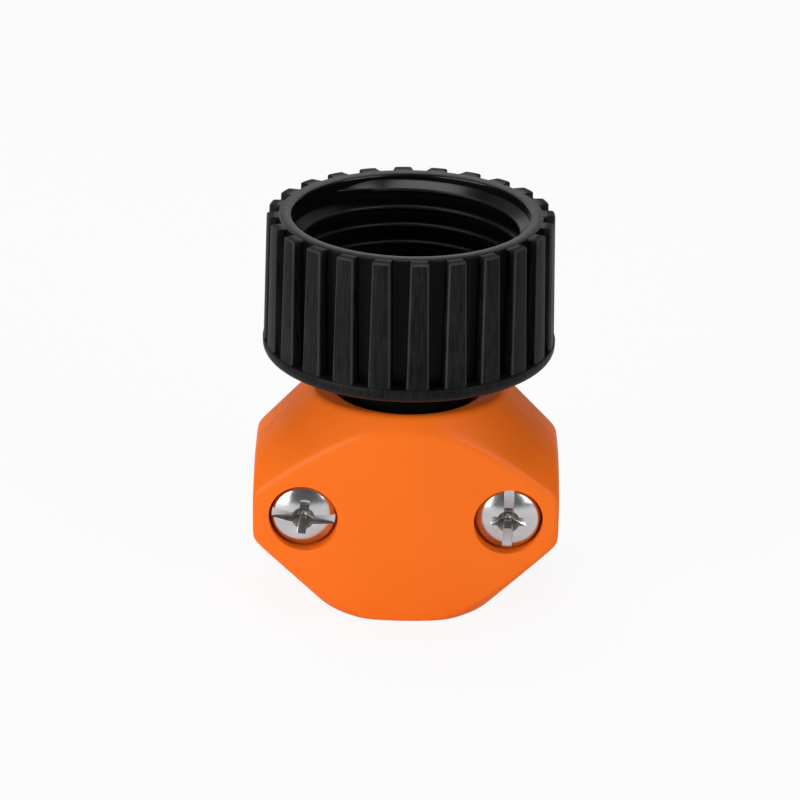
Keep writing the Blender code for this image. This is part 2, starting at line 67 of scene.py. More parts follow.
def length(name, description, default):
    return FloatProperty(name=name, description=description, default=default,
                         min=0.0, unit="LENGTH", precision=5)


def degrees(name, description, default):
    return FloatProperty(name=name, description=description, default=math.radians(default),
                         subtype="ANGLE")


def amount(name, description, default):
    return FloatProperty(name=name, description=description, default=default, min=0.0)


def colour(name, description, default):
    return FloatVectorProperty(name=name, description=description, default=default,
                               size=3, min=0.0, max=1.0, subtype="COLOR")


class SwivelNutSizes(bpy.types.PropertyGroup):
    """Sizes of the ribbed nut and of the hose thread in its socket."""

    rib_count: IntProperty(name="Ribs", description="Grip ribs round the nut", default=24, min=6)
    rib_phase: degrees("Rib phase", "Turn of the first rib from the front", 3.6)
    body_radius: length("Body radius", "Outside of the wall between the ribs", 15.05 * MM)
    rib_top_depth: length("Rib depth, top", "How far a rib stands out at the mouth", 1.37 * MM)
    rib_foot_depth: length("Rib depth, foot", "How far a rib stands out at the ring", 1.7 * MM)
    rib_top_width: length("Rib width, top", "Width of a rib at the mouth", 2.08 * MM)
    rib_foot_width: length("Rib width, foot", "Width of a rib at the ring", 2.55 * MM)
    ring_height: length("Ring height", "Height of the plain ring under the ribs", 1.7 * MM)
    ring_round: length("Ring round", "Rounding of the ring's lower edge", 1.1 * MM)
    root_radius: length("Thread root radius", "Radius at the thread's roots", 13.6 * MM)
    thread_depth: length("Thread depth", "From the roots to the crests", 1.2 * MM)
    thread_start: length("Thread start", "From the mouth down to the first crest", 1.26 * MM)
    thread_angle: degrees("Thread angle", "Where the first crest starts", 135.0)
    pitch: length("Thread pitch", "One turn of the 3/4 inch hose thread", 2.209 * MM)
    hole_radius: length("Swivel hole radius", "Hole in the nut's floor", 7.4 * MM)
    floor: length("Floor", "Thickness of the nut's floor", 1.5 * MM)


class StemSizes(bpy.types.PropertyGroup):
    """Sizes of the stem and of the washer on its flange."""

    neck_radius: length("Neck radius", "Outside of the neck between nut and clamp", 7.05 * MM)
    bore_radius: length("Bore radius", "Water way through the stem", 4.6 * MM)
    flange: length("Flange", "Thickness of the flange in the nut", 1.6 * MM)
    collar_radius: length("Collar radius", "Collar that the clamp holds", 8.8 * MM)
    collar_top: length("Collar top", "Height of the collar's upper face", 20.5 * MM)
    collar: length("Collar", "Thickness of the collar", 2.0 * MM)
    tail_radius: length("Tail radius", "Tail between its barbs", 5.9 * MM)
    barb_radius: length("Barb radius", "Edge of a barb", 6.6 * MM)
    barb_count: IntProperty(name="Barbs", description="Barbs on the tail", default=4, min=1)
    washer_hole: length("Washer hole", "Radius of the washer's hole", 7.9 * MM)


class ClampSizes(bpy.types.PropertyGroup):
    """Sizes of the two clamp halves."""

    gap: length("Gap", "Gap between the closed halves", 0.4 * MM)
    ear_thickness: length("Ear thickness", "Depth of a half at its ears", 8.2 * MM)
    ridge_round: length("Ridge round", "Half width of the face's rounded ridge", 3.5 * MM)
    base_radius: length("Base radius", "Outside at the hose end", 10.87 * MM)
    base_flare: amount("Base flare", "Slope of the lower corners", 0.92)
    top_half_length: length("Top half length", "Half length of the top land", 11.07 * MM)
    top_side_flare: amount("Side flare", "Slope of the upper corners", 0.94)
    top_half_depth: length("Top half depth", "Half depth of the top land", 9.3 * MM)
    top_face_flare: amount("Top flare", "Slope of the top's front", 0.56)
    front_land: length("Front land", "Straight edge of the front half at the parting", 0.5 * MM)
    back_land: length("Back land", "Straight edge of the back half at the parting", 2.8 * MM)
    end_round: length("End round", "Rounding of both ends' rims", 0.4 * MM)
    neck_hole: length("Neck hole radius", "Hole round the neck", 8.7 * MM)
    neck_hole_depth: length("Neck hole depth", "Depth of the hole over the lip", 2.4 * MM)
    lip_radius: length("Lip radius", "Lip over the stem's collar", 7.4 * MM)
    lip: length("Lip", "Thickness of the lip", 2.4 * MM)
    groove_radius: length("Groove radius", "Groove round the collar", 9.2 * MM)
    groove: length("Groove", "Height of the groove", 2.6 * MM)
    hose_radius: length("Hose bore radius", "Bore round the hose", 8.6 * MM)
    grip_ring: length("Grip ring", "Height of the rings in the bore", 0.6 * MM)
    pocket_radius: length("Pocket radius", "Round pocket of a screw head", 4.0 * MM)
    shank_hole: length("Shank hole radius", "Hole for a screw's shank", 2.3 * MM)
    head_seat: length("Head seat", "From the parting plane to a head pocket's floor", 7.1 * MM)
    hex_seat: length("Hex seat", "From the parting plane to a nut pocket's floor", 5.7 * MM)


class ScrewSizes(bpy.types.PropertyGroup):
    """Sizes of the clamp screws and their hex nuts."""

    head_radius: length("Head radius", "Radius of the pan head", 3.7 * MM)
    head_height: length("Head height", "Height of the pan head", 2.0 * MM)
    shank_radius: length("Shank radius", "Radius over the thread", 2.0 * MM)
    pitch: length("Pitch", "One turn of the screw's thread", 0.8 * MM)
    slot_width: length("Slot width", "Width of the driver slot", 1.2 * MM)
    slot_depth: length("Slot depth", "Depth of the driver slot", 1.05 * MM)
    cross_span: length("Cross span", "Span of the cross at the head's crown", 4.9 * MM)
    cross_depth: length("Cross depth", "Depth of the cross", 1.75 * MM)
    left_turn: degrees("Left slot", "Turn of the left screw's slot", 6.0)
    right_turn: degrees("Right slot", "Turn of the right screw's slot", 91.0)


class Finishes(bpy.types.PropertyGroup):
    """Colours of the pieces, and of the painted highlight and painted shade on them."""

    orange: colour("Clamp orange", "Moulded nylon of the clamp", (0.9, 0.162, 0.0115))
    black: colour("Nut black", "Moulded nylon of the nut and stem", (0.0034, 0.0036, 0.0036))
    # painted highlight: the lighter colour laid along the ribs' edges and the thread's crests
    edge_highlight: colour("Painted edge highlight", "Edges of the ribs and thread", (0.044, 0.046, 0.045))
    rubber: colour("Washer", "Rubber of the hose washer", (0.022, 0.022, 0.023))
    zinc: colour("Plating", "Zinc plate of the screws and hex nuts", (0.64, 0.64, 0.65))
    # painted shade: the darker colour deep in the screw heads' recesses, over plating that is
    # also rougher there
    recess: colour("Recess", "Dull plating and painted shade in the driver recess", (0.26, 0.235, 0.21))
    floor: colour("Floor", "Plain studio floor", (0.93, 0.93, 0.93))


class StudioSizes(bpy.types.PropertyGroup):
    """The camera and the lights."""

    distance: length("Camera distance", "From the camera to its target", 0.400)
    elevation: degrees("Elevation", "Camera's height over the horizon", 23.07)
    roll: degrees("Roll", "Camera's roll", 1.0)
    target_side: FloatProperty(name="Target side", description="Target's place along X",
                               default=-0.9 * MM, unit="LENGTH", precision=5)
    target_height: length("Target height", "Target's height over the floor", 23.55 * MM)
    lens: FloatProperty(name="Lens", description="Focal length", default=154.8,
                        subtype="DISTANCE_CAMERA")
    key: amount("Key light", "Power of the key light", 3.35)
    fill: amount("Fill light", "Power of the fill light", 1.85)
    top: amount("Top light", "Power of the top light", 1.8)
    back: amount("Back light", "Power of the back light", 0.15)
    world: amount("Surroundings", "Brightness of the dim room", 0.08)


class Wire:
    """A shader socket whose arithmetic adds Math nodes."""

    def __init__(self, tree, socket):
        self.tree = tree
        self.socket = socket

    def maths(self, operation, *terms):
        return self.tree.node("ShaderNodeMath", {"operation": operation}, dict(enumerate(terms)))

    def __abs__(self):
        return self.maths("ABSOLUTE", self)

    def __add__(self, other):
        return self.maths("ADD", self, other)

    def __radd__(self, other):
        return self.maths("ADD", other, self)

    def __sub__(self, other):
        return self.maths("SUBTRACT", self, other)

    def __rsub__(self, other):
        return self.maths("SUBTRACT", other, self)

    def __mul__(self, other):
        return self.maths("MULTIPLY", self, other)

    def __rmul__(self, other):
        return self.maths("MULTIPLY", other, self)


class Tree:
    """An emptied shader tree, built node by node."""

    def __init__(self, tree):
        self.nodes = tree.nodes
        self.links = tree.links
        self.nodes.clear()

    def node(self, kind, settings=None, values=None, output=0):
        made = self.nodes.new(kind)
        for name, value in (settings or {}).items():
            if name == "stops":
                self.set_stops(made.color_ramp, value)
            else:
                setattr(made, name, value)
        for name, value in (values or {}).items():
            if isinstance(value, Wire):
                self.links.new(value.socket, made.inputs[name])
            else:
                made.inputs[name].default_value = value
        return None if output is None else Wire(self, made.outputs[output])

    @staticmethod
    def set_stops(ramp, stops):
        while len(ramp.elements) < len(stops):
            ramp.elements.new(1.0)
        for element, (place, level) in zip(ramp.elements, stops):
            element.position = place
            element.color = (level, level, level, 1.0)

    def rays(self):
        """1 for the camera's rays, and 1 for reflected and for refracted ones."""
        path = self.nodes.new("ShaderNodeLightPath")
        camera, glossy, clear = (Wire(self, path.outputs[name]) for name in
                                 ("Is Camera Ray", "Is Glossy Ray", "Is Transmission Ray"))
        return camera, glossy + clear

    def mix_shaders(self, factor, first, second):
        return self.node("ShaderNodeMixShader", None, {0: factor, 1: first, 2: second})


class Finish(Tree):
    """A material and its nodes."""

    def __init__(self, name):
        self.material = bpy.data.materials.new(name)
        self.material.use_nodes = True
        super().__init__(self.material.node_tree)

    def place(self):
        return self.node("ShaderNodeTexCoord", output="Object")

    def noise(self, scale, detail=2.0, roughness=0.5, vector=None):
        return self.node("ShaderNodeTexNoise", None,
                         {"Vector": vector or self.place(), "Scale": scale, "Detail": detail,
                          "Roughness": roughness}, "Fac")

    def ramp(self, value, low, high):
        stops = ((low, 0.0), (high, 1.0))
        return self.node("ShaderNodeValToRGB", {"stops": stops}, {"Fac": value})

    def mix(self, factor, first, second):
        return self.node("ShaderNodeMix", {"data_type": "RGBA"},
                         {"Factor": factor, 6: first, 7: second}, 2)

    def shades(self, factor, rgb, dark, light):
        """A colour between a darker and a lighter shade of itself."""
        return self.mix(factor, shade(rgb, dark), shade(rgb, light))

    def bump(self, height, strength, distance, normal=None):
        values = {"Height": height, "Strength": strength, "Distance": distance}
        if normal:
            values["Normal"] = normal
        return self.node("ShaderNodeBump", None, values)

    def scaled(self, factors):
        """The object's own coordinates times three factors."""
        return self.node("ShaderNodeVectorMath", {"operation": "MULTIPLY"},
                         {0: self.place(), 1: factors})

    def distance(self, factors, centre):
        """Distance of the scaled coordinates from a centre."""
        return self.node("ShaderNodeVectorMath", {"operation": "DISTANCE"},
                         {0: self.scaled(factors), 1: centre}, "Value")

    def between(self, value, low, high):
        """0 up to the low value, 1 from the high value on."""
        return self.node("ShaderNodeMapRange", None,
                         {"Value": value, "From Min": low, "From Max": high})

    def shader(self, values):
        return self.node("ShaderNodeBsdfPrincipled", None, values)

    def surface(self, values):
        self.node_output(self.shader(values))
        return self.material

    def node_output(self, shader):
        self.node("ShaderNodeOutputMaterial", None, {"Surface": shader}, None)


# Finishes: the bands over which the nut's and the screws' surfaces change, among them the painted
# highlights on the nut's rib edges and thread crests and the painted shade in the screws'
# recesses
NYLON_IOR = 1.5
GRIP_START = 0.35 * MM
GRIP_BLEND = 0.25 * MM
RIB_HIGHLIGHT_BAND = (0.26 * MM, 0.12 * MM)
TIP_HIGHLIGHT_BAND = (0.3 * MM, 0.14 * MM)
OUTER_HIGHLIGHT_BAND = (0.3 * MM, 0.12 * MM)
RING_HIGHLIGHT_BAND = 0.1 * MM
SOCKET_BAND = (0.45 * MM, 0.75 * MM)
RIM_BAND = (0.25 * MM, 0.05 * MM)
CREST_HIGHLIGHT_BAND = (0.2 * MM, 0.05 * MM)
RECESS_SHADE_BAND = (1.4 * MM, 0.3 * MM)


def shade(rgb, factor=1.0):
    """A colour made lighter or darker, with its alpha."""
    return (*(min(part * factor, 1.0) for part in rgb), 1.0)


def orange_nylon(finishes):
    """Satin moulded nylon: faint flow clouds, a fine spark-eroded grain and a soft sheen."""
    finish = Finish("orange_nylon")
    clouds = finish.noise(90.0, detail=3.0, roughness=0.55)
    grain = finish.noise(4200.0, detail=2.0, roughness=0.6)
    tint = finish.shades(finish.ramp(clouds, 0.3, 0.7), finishes.orange, dark=0.98, light=1.02)
    ripple = finish.bump(clouds, strength=0.10, distance=0.05 * MM)
    normal = finish.bump(grain, strength=0.18, distance=0.012 * MM, normal=ripple)
    return finish.surface({
        "Base Color": tint, "Roughness": 0.5 + clouds * 0.08, "IOR": NYLON_IOR,
        "Specular IOR Level": 0.05, "Coat Weight": 0.11 + clouds * 0.07,
        "Coat Roughness": 0.22, "Normal": normal})


def rib_edge_highlight(finish, reach, height, nut):
    """Painted highlight mask: 1 along the sides and tip of each rib's outer face, worked out from
    the nut's sizes.
    """
    x, y = (finish.node("ShaderNodeSeparateXYZ", None, {0: finish.place()}, axis)
            for axis in "XY")
    turn = y.maths("ARCTAN2", y, x) - (nut.rib_phase - math.pi / 2)
    ribs = turn * (nut.rib_count / math.tau)
    across = abs(ribs - ribs.maths("ROUND", ribs)) * (math.tau / nut.rib_count) * reach
    share = finish.between(height, NUT_HIGH.z, NUT_LOW.z + nut.ring_height)
    half_width = share * ((nut.rib_foot_width - nut.rib_top_width) / 2) + nut.rib_top_width / 2
    side = finish.between(half_width - across, *RIB_HIGHLIGHT_BAND)
    tip = finish.between(height, *(NUT_HIGH.z - depth for depth in TIP_HIGHLIGHT_BAND))
    face = nut.body_radius + nut.rib_top_depth
    level = reach - share * (nut.rib_foot_depth - nut.rib_top_depth)
    outer = finish.between(level, *(face - depth for depth in OUTER_HIGHLIGHT_BAND))
    ring_top = NUT_LOW.z + nut.ring_height
    above = finish.between(height, ring_top, ring_top + RING_HIGHLIGHT_BAND)
    return side.maths("MAXIMUM", side, tip) * outer * above


def black_nylon(finishes, name, nut=None):
    """Black nylon: satin; on the nut polished in the socket and streaked on the ribs, with
    painted highlights on rib edges and thread crests.
    """
    finish = Finish(name)
    clouds = finish.noise(160.0, detail=4.0, roughness=0.6)
    reach = finish.distance((1.0, 1.0, 0.0), (0.0, 0.0, 0.0))
    height = finish.distance((0.0, 0.0, 1.0), (0.0, 0.0, 0.0))
    tint = finish.shades(clouds, finishes.black, dark=0.6, light=1.2)
    gloss = 0.0
    if nut:
        crest = nut.root_radius - nut.thread_depth
        socket = finish.between(reach, *(nut.body_radius - depth for depth in SOCKET_BAND))
        rim = finish.between(height, *(NUT_HIGH.z - depth for depth in RIM_BAND))
        gloss = socket * 0.36 + rim * 0.5
        # painted highlight: the thread's crests lightened into thin bright lines
        tint = finish.mix(finish.between(reach, *(crest + depth for depth in CREST_HIGHLIGHT_BAND)), tint,
                          shade(finishes.edge_highlight, 0.4))
    smooth = finish.shader({
        "Base Color": tint, "Roughness": 0.24 + clouds * 0.08, "IOR": NYLON_IOR,
        "Specular IOR Level": 0.05, "Coat Weight": gloss, "Coat Roughness": 0.2,
        "Normal": finish.bump(clouds, strength=0.1, distance=0.04 * MM)})
    if not nut:
        finish.node_output(smooth)
        return finish.material
    # mask of the painted highlight along the sides and tips of the ribs' outer faces
    edge = rib_edge_highlight(finish, reach, height, nut)
    streaks = finish.noise(4200.0, detail=3.0, roughness=0.65,
                           vector=finish.scaled((1.0, 1.0, 0.06)))
    grain = finish.noise(3600.0, detail=2.0, roughness=0.65)
    rub = finish.ramp(clouds * 0.5 + streaks, 0.6, 0.95)
    worn = finish.shades(rub, finishes.black, dark=0.6, light=3.6)
    drag = finish.bump(streaks, strength=0.5, distance=0.02 * MM)
    relief = finish.bump(grain, strength=0.3, distance=0.014 * MM, normal=drag)
    drawn = finish.shader({
        # painted highlight: the rib edges are lightened towards the highlight colour
        "Base Color": finish.mix(edge * (clouds + 0.3), worn, shade(finishes.edge_highlight)),
        "Roughness": 0.4 + streaks * 0.12, "IOR": NYLON_IOR, "Specular IOR Level": 0.1,
        "Normal": relief})
    grip = nut.body_radius + GRIP_START
    standing = finish.between(reach, grip, grip + GRIP_BLEND)
    finish.node_output(finish.mix_shaders(standing, smooth, drawn))
    return finish.material


def washer_rubber(finishes):
    """Dull black rubber with a bloom."""
    finish = Finish("washer_rubber")
    bloom = finish.noise(260.0, detail=4.0, roughness=0.6)
    grain = finish.noise(2600.0, detail=3.0, roughness=0.7)
    tint = finish.shades(finish.ramp(bloom, 0.35, 0.75), finishes.rubber, dark=0.9, light=1.5)
    normal = finish.bump(grain, strength=0.35, distance=0.02 * MM)
    return finish.surface({"Base Color": tint, "Roughness": 0.6 + bloom * 0.15,
                           "IOR": NYLON_IOR, "Normal": normal})


def zinc_plate(finishes, name, head=None):
    """Zinc plate: slightly uneven gloss and small dull spots; duller, and darkened with painted
    shade, in a screw head's recess.

    The head is the centre and the radius of its crown's ball, with the centre at a positive X.
    """
    finish = Finish(name)
    clouds = finish.noise(520.0, detail=4.0, roughness=0.6)
    pits = finish.noise(2300.0, detail=3.0, roughness=0.6)
    tint = finish.shades(finish.ramp(clouds, 0.35, 0.7), finishes.zinc, dark=0.9, light=1.05)
    rough = 0.11 + clouds * 0.12 + pits * 0.04
    if head:
        centre, ball = head
        folded = finish.node("ShaderNodeVectorMath", {"operation": "ABSOLUTE"},
                             {0: finish.place()})
        reach = finish.node("ShaderNodeVectorMath", {"operation": "DISTANCE"},
                            {0: folded, 1: [abs(part) for part in centre]}, "Value")
        crown = finish.between(reach, *(ball - depth for depth in RECESS_SHADE_BAND))
        # painted shade: the colour darkens from the crown down into the recess; the added
        # roughness is duller plating
        tint = finish.mix(crown, shade(finishes.recess), tint)
        rough = rough + (1.0 - crown) * 0.2
    ripple = finish.bump(clouds, strength=0.25, distance=0.03 * MM)
    normal = finish.bump(pits, strength=0.2, distance=0.01 * MM, normal=ripple)
    return finish.surface({"Base Color": tint, "Roughness": rough, "Normal": normal,
                           "Metallic": 1.0})


def studio_floor(finishes):
    """Matte white floor that the camera and reflections see almost at full white."""
    finish = Finish("studio_floor")
    tint = finish.shades(finish.noise(14.0), finishes.floor, dark=0.985, light=1.0)
    matte = finish.node("ShaderNodeBsdfDiffuse", None, {"Color": tint})
    glow = finish.node("ShaderNodeEmission", None, {"Color": WHITE, "Strength": 1.0})
    camera, mirrored = finish.rays()
    finish.node_output(finish.mix_shaders(camera * 0.9 + mirrored * 0.3, matte, glow))
    return finish.material


# Shared by the pieces
TURNED_POINTS = 160


def polar(radius, angle, height):
    """A point from its distance to the axis, its angle and its height."""
    return radius * math.cos(angle), radius * math.sin(angle), height


def add_object(name, data):
    made = bpy.data.objects.new(name, data)
    bpy.context.scene.collection.objects.link(made)
    return made


def mesh_of(form, name):
    """The mesh of a bmesh, which is freed."""
    mesh = bpy.data.meshes.new(name)
    form.to_mesh(mesh)
    form.free()
    return mesh


def placed_mesh(form, name, place):
    """The mesh of a closed bmesh, its faces turned outwards, moved to its place."""
    bmesh.ops.recalc_face_normals(form, faces=form.faces)
    bmesh.ops.transform(form, matrix=place, verts=form.verts)
    return mesh_of(form, name)


def round_edges(form, edges, size, steps):
    bmesh.ops.bevel(form, geom=edges, offset=size, segments=steps, profile=0.5, affect="EDGES",
                    clamp_overlap=True)


def ring_piece(name, rings, joined):
    """A mesh through rings of equally many points; joined closes the last ring to the first."""
    count = len(rings[0])
    points = [point for ring in rings for point in ring]
    faces = []
    spans = len(rings) if joined else len(rings) - 1
    for level in range(spans):
        low = level * count
        high = (level + 1) % len(rings) * count
        for index in range(count):
            after = (index + 1) % count
            faces.append((low + index, low + after, high + after, high + index))
    if not joined:
        faces.append(tuple(range(count))[::-1])
        faces.append(tuple((len(rings) - 1) * count + index for index in range(count)))
    mesh = bpy.data.meshes.new(name)
    mesh.from_pydata(points, [], faces)
    mesh.validate()
    form = bmesh.new()
    form.from_mesh(mesh)
    bmesh.ops.recalc_face_normals(form, faces=form.faces)
    form.to_mesh(mesh)
    form.free()
    return mesh


def add_piece(name, mesh, material, body, nodes, sharp=32.0):
    """Adds a finished piece that rides on a body and stands for its CAD nodes."""
    piece = add_object(name, mesh)
    mesh.materials.clear()
    mesh.materials.append(material)
    mesh.shade_smooth()
    mesh.set_sharp_from_angle(angle=math.radians(sharp))
    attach(piece, body)
    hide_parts(*nodes)


def arc(centre, radius, start, end, count):
    """Points of an arc in a plane, such as (radius, height), with its angles in degrees."""
    angles = (math.radians(start + (end - start) * index / count) for index in range(count + 1))
    return [(centre[0] + radius * math.cos(angle), centre[1] + radius * math.sin(angle))
            for angle in angles]


def circle_ring(radius, height, count):
    return [polar(radius, math.tau * index / count, height) for index in range(count)]


def turned_mesh(name, outline):
    """A turned solid from its closed (radius, height) outline, off the axis all round."""
    rings = [circle_ring(radius, height, TURNED_POINTS) for radius, height in outline]
    return ring_piece(name, rings, True)


def rounded_outline(corners, rounds, steps=4):
    """A closed outline with each corner rounded by its radius; 0 keeps it sharp."""
    outline = []
    total = len(corners)
    for index, (corner, radius) in enumerate(zip(corners, rounds)):
        here = Vector(corner)
        before = Vector(corners[index - 1]) - here
        after = Vector(corners[(index + 1) % total]) - here
        if radius <= 0.0:
            outline.append(tuple(here))
            continue
        angle = before.angle(after)
        cut = min(radius / math.tan(angle / 2), before.length * 0.45, after.length * 0.45)
        start = here + before.normalized() * cut
        end = here + after.normalized() * cut
        for step in range(steps + 1):
            share = step / steps
            point = (1 - share) ** 2 * start + 2 * share * (1 - share) * here + share ** 2 * end
            outline.append(tuple(point))
    return outline


# The nut
THREAD_STEPS = 200
THREAD_FADE = 0.08
THREAD_ROOTING = 0.2 * MM
THREAD_FOOT = 0.3 * MM
RIB_CORNER = 0.3 * MM
RIB_ROOT = 0.1 * MM
RIM_ROUND = 0.16 * MM
RIB_DROP = 0.05 * MM
CREST_HALF = 0.14 * MM
CREST_FALL = 0.03 * MM
CREST_ROUND = 0.1 * MM
FLANK = math.tan(math.radians(30.0))
RING_EDGE = 0.12 * MM
HOLE_EDGE = 0.2 * MM
MOUTH_EDGE = 0.25 * MM


def rib_side(depth, half_width, sizes):
    """Half of a rib's section as (tangent, radius) points, from groove to rib."""
    body = sizes.body_radius
    root = min(RIB_ROOT, depth * 0.4)
    corner = min(RIB_CORNER, depth * 0.45)
    half_pitch = math.pi / sizes.rib_count
    points = []
    for part in (1.0, 0.84):
        angle = half_pitch * part
        points.append((-body * math.sin(angle), body * math.cos(angle)))
    floor = body - (half_width ** 2) / (2 * body)
    top = floor + depth
    points += arc((-half_width - root, floor + root), root, -90, 0, 2)
    points += arc((-half_width + corner, top - corner), corner, 180, 90, 5)
    for part in (0.5, 0.0):
        across = half_width * part
        points.append((-across, top + (half_width ** 2 - across ** 2) / (2 * top)))
    return points


def rib_ring(height, depth, half_width, sizes):
    """A whole ring of ribs at one height."""
    side = rib_side(depth, half_width, sizes)
    section = side + [(-tangent, radius) for tangent, radius in reversed(side[1:-1])]
    ring = []
    for index in range(sizes.rib_count):
        angle = sizes.rib_phase - math.pi / 2 + index * math.tau / sizes.rib_count
        for tangent, radius in section:
            ring.append((radius * math.cos(angle) - tangent * math.sin(angle),
                         radius * math.sin(angle) + tangent * math.cos(angle), height))
    return ring


def matched_ring(radius, height, pattern):
    """A plain ring whose points keep the angles of another ring's."""
    ring = []
    for x, y, _ in pattern:
        reach = math.hypot(x, y)
        ring.append((x / reach * radius, y / reach * radius, height))
    return ring


def thread_section(share, middle, sizes):
    """Eight (radius, height) points of the ridge, share of its full depth, its crest rounded."""
    root = sizes.root_radius + THREAD_ROOTING
    crest = sizes.root_radius - sizes.thread_depth * share + THREAD_ROOTING * 0.6 * (1 - share)
    upper = [(crest, CREST_HALF * 0.5), (crest + CREST_FALL, CREST_HALF * 1.02),
             (crest + CREST_ROUND, CREST_HALF + CREST_ROUND * FLANK),
             (root, CREST_HALF + (root - crest) * FLANK)]
    lower = [(radius, -height) for radius, height in reversed(upper)]
    return [(radius, middle + height) for radius, height in lower + upper]


def thread_mesh(sizes):
    """The right-handed ridge of the hose thread, from over the washer up to the mouth."""
    first = NUT_HIGH.z - sizes.thread_start
    reach = CREST_HALF + (sizes.thread_depth + THREAD_ROOTING) * FLANK
    turns = (first - (WASHER_HIGH.z + THREAD_FOOT + reach)) / sizes.pitch
    count = int(turns * THREAD_STEPS)
    rings = []
    for index in range(count + 1):
        down = turns * (1 - index / count)
        share = min(down / THREAD_FADE, (turns - down) / THREAD_FADE, 1.0)
        share = share * share * (3 - 2 * share)
        angle = sizes.thread_angle - math.tau * down
        section = thread_section(share, first - down * sizes.pitch, sizes)
        rings.append([polar(radius, angle, height) for radius, height in section])
    return ring_piece("hose_thread", rings, False)


def nut_rings(sizes):
    """Rings over the rim, down the ribs, under the floor and back up the plain socket."""
    low, high = NUT_LOW.z, NUT_HIGH.z
    ring_top = low + sizes.ring_height
    ring_radius = NUT_HIGH.x
    body = sizes.body_radius
    rings = []

    def rib_at(height, shrink):
        share = (high - height) / (high - ring_top)
        depth = sizes.rib_top_depth + (sizes.rib_foot_depth - sizes.rib_top_depth) * share
        width = sizes.rib_top_width + (sizes.rib_foot_width - sizes.rib_top_width) * share
        return rib_ring(height, depth - shrink, width / 2 - shrink * 0.6, sizes)

    for shrink, drop in arc((RIM_ROUND, RIB_DROP + RIM_ROUND), RIM_ROUND, -90, -180, 3):
        rings.append(rib_at(high - drop, shrink))
    under = high - RIB_DROP - RIM_ROUND
    for share in (0.02, 0.06, 0.25, 0.5, 0.75, 0.96):
        rings.append(rib_at(under - (under - ring_top) * share, 0.0))
    rings.append(rib_at(ring_top, 0.0))
    edge = RING_EDGE
    outline = [(ring_radius - edge, ring_top - edge * 0.05),
               (ring_radius - edge * 0.3, ring_top - edge * 0.3),
               (ring_radius, ring_top - edge)]
    outline += arc((ring_radius - sizes.ring_round, low + sizes.ring_round),
                   sizes.ring_round, 0, -90, 10)
    edge = HOLE_EDGE
    hole = sizes.hole_radius
    mouth = sizes.root_radius
    floor_top = low + sizes.floor
    outline += [(hole + edge, low), (hole + edge * 0.3, low + edge * 0.3), (hole, low + edge),
                (hole, floor_top - edge), (hole + edge, floor_top), (mouth - edge, floor_top),
                (mouth, floor_top + edge)]
    edge = MOUTH_EDGE
    outline += [(mouth, high - edge), (mouth + edge * 0.1, high - edge * 0.5),
                (mouth + edge * 0.4, high - edge * 0.15), (mouth + edge, high),
                (body - RIB_DROP * 2.2, high), (body - RIB_DROP * 1.5, high - RIB_DROP * 0.3),
                (body - RIB_DROP, high - RIB_DROP)]
    pattern = rings[-1]
    return rings + [matched_ring(radius, height, pattern) for radius, height in outline]


# The clamp
CLAMP_RAYS = 220
CLAMP_LEVELS = 120
CREASE_SHARPNESS = 60.0
PARTING_ROUND = 0.18 * MM
FAR = 1.0
GRAZING = 1e-5
BEYOND = 5 * MM
HOLE_RIM = 0.3 * MM
HOSE_MOUTH = 0.6 * MM
GRIP_RINGS = 4
GRIP_CREST = 0.08 * MM
POCKET_RIM = 0.13 * MM
POCKET_FOOT = 0.15 * MM
POCKET_OVER = 4 * MM
HOLE_REACH = 20 * MM
HEX_OVER = 3 * MM
HEX_PLAY = 0.6 * MM
HEX_CORNER = 0.25 * MM


def face_roof(sizes):
    """Height of a half's ridge over the parting face, and the fall towards the ears."""
    height = BACK_HIGH.y - sizes.gap / 2
    return height, (height - sizes.ear_thickness) / CLAMP_HIGH.x


def face_reach(across, along, sizes):
    """Distance along a ray to the front face, a shallow roof with a rounded ridge."""
    height, fall = face_roof(sizes)
    ridge = along * sizes.ridge_round / height
    return height / (along + fall * (math.hypot(across, ridge) - ridge))


def top_reach(across, along, depth, land, sizes):
    """Distance along a ray to the sloping top, an oval that starts behind a straight land."""
    long_half = sizes.top_half_length + sizes.top_side_flare * depth
    short_half = sizes.top_half_depth + sizes.top_face_flare * depth - land
    if across > GRAZING and along * long_half / across <= land:
        return long_half / across
    square = (across / long_half) ** 2 + (along / short_half) ** 2
    linear = along * land / short_half ** 2
    rest = (land / short_half) ** 2 - 1.0
    return (linear + math.sqrt(linear ** 2 - square * rest)) / square


def section_reach(angle, height, land, sizes):
    """How far the clamp's outside lies from the axis: the nearest of its faces, blended."""
    across = abs(math.cos(angle))
    along = max(math.sin(angle), 0.0)
    top = CLAMP_HIGH.z
    reaches = [
        CLAMP_HIGH.x / max(across, GRAZING),
        face_reach(across, along, sizes) if along > GRAZING else FAR,
        top_reach(across, along, top - height, land, sizes),
        sizes.base_radius + sizes.base_flare * height,
    ]
    nearest = min(reaches)
    blend = sum((nearest / reach) ** CREASE_SHARPNESS for reach in reaches)
    reach = nearest * blend ** (-1.0 / CREASE_SHARPNESS)
    for edge, radius in ((height, sizes.end_round), (top - height, sizes.end_round),
                         (reach * along, PARTING_ROUND)):
        if edge < radius:
            reach -= radius - math.sqrt(radius ** 2 - (radius - edge) ** 2)
    return reach


def clamp_angles():
    """Ray angles over half a turn, crowded where the half meets the parting plane."""
    close = [0.0, 0.04, 0.12, 0.25, 0.5]
    step = math.pi / CLAMP_RAYS
    start = [share * step for share in close]
    middle = [step * index for index in range(1, CLAMP_RAYS)]
    return start + middle + [math.pi - angle for angle in reversed(start)]


